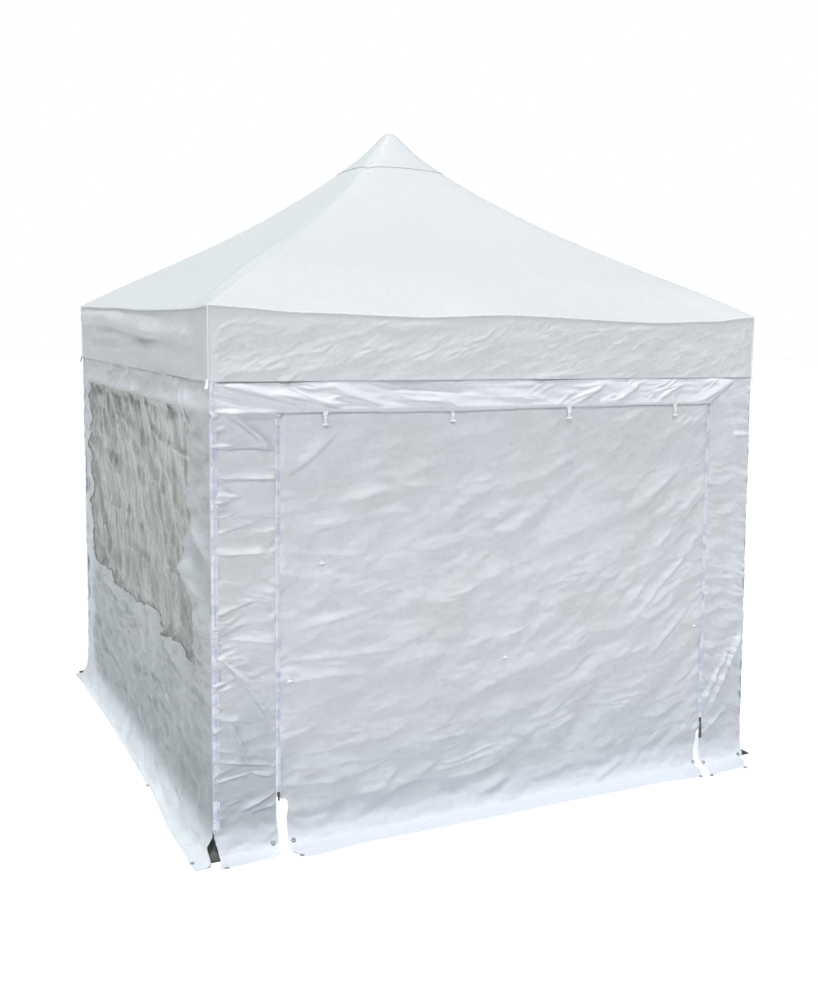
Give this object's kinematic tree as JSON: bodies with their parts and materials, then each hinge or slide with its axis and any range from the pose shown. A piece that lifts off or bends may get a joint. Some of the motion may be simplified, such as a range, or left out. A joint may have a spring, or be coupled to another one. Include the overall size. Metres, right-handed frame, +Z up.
{
  "type": "marquee tent",
  "caption": "Square pop-up marquee: folding frame on splayed feet, hipped canopy with a valance, clear side windows, zipped door panel and ground skirts.",
  "frame": {"origin": "centre of the footprint on the ground", "axes": "+Z up, +X to the right along the front wall, +Y from the front wall, which holds the door panel, to the back"},
  "size_m": [3.3734, 3.3734, 3.4823],
  "materials": {
    "roof_cloth": "coated polyester, smooth",
    "valance_cloth": "coated polyester, creased",
    "wall_cloth": "coated polyester, creased",
    "skirt_cloth": "coated polyester, hemmed",
    "clear_film": "clear PVC film, wrinkled",
    "zip_tape": "woven tape with plastic teeth",
    "frame_metal": "satin",
    "foot_metal": "dark grey, worn"
  },
  "bodies": {
    "root": {"roof_front": "roof_cloth", "roof_right": "roof_cloth", "roof_back": "roof_cloth", "roof_left": "roof_cloth", "peak_patch": "roof_cloth", "valance_front": "valance_cloth", "valance_right": "valance_cloth", "valance_back": "valance_cloth", "valance_left": "valance_cloth", "front_header": "wall_cloth", "front_strip_left": "wall_cloth", "front_strip_right": "wall_cloth", "door_panel": "wall_cloth", "left_wall": "wall_cloth", "right_wall": "wall_cloth", "back_wall": "wall_cloth", "skirt_front_left": "skirt_cloth", "skirt_door": "skirt_cloth", "skirt_front_right": "skirt_cloth", "skirt_right": "skirt_cloth", "skirt_back": "skirt_cloth", "skirt_left": "skirt_cloth", "left_window": "clear_film", "right_window": "clear_film", "door_zip_left": "zip_tape", "door_zip_right": "zip_tape", "corner_zip_front_left": "zip_tape", "corner_zip_front_right": "zip_tape", "corner_zip_back_right": "zip_tape", "corner_zip_back_left": "zip_tape", "leg_front_left": "frame_metal", "leg_front_right": "frame_metal", "leg_back_right": "frame_metal", "leg_back_left": "frame_metal", "truss_front": "frame_metal", "truss_right": "frame_metal", "truss_back": "frame_metal", "truss_left": "frame_metal", "centre_truss_front": "frame_metal", "centre_truss_right": "frame_metal", "centre_truss_back": "frame_metal", "centre_truss_left": "frame_metal", "centre_mast": "frame_metal", "foot_front_left": "foot_metal", "foot_front_right": "foot_metal", "foot_back_right": "foot_metal", "foot_back_left": "foot_metal"}
  },
  "joints": []
}
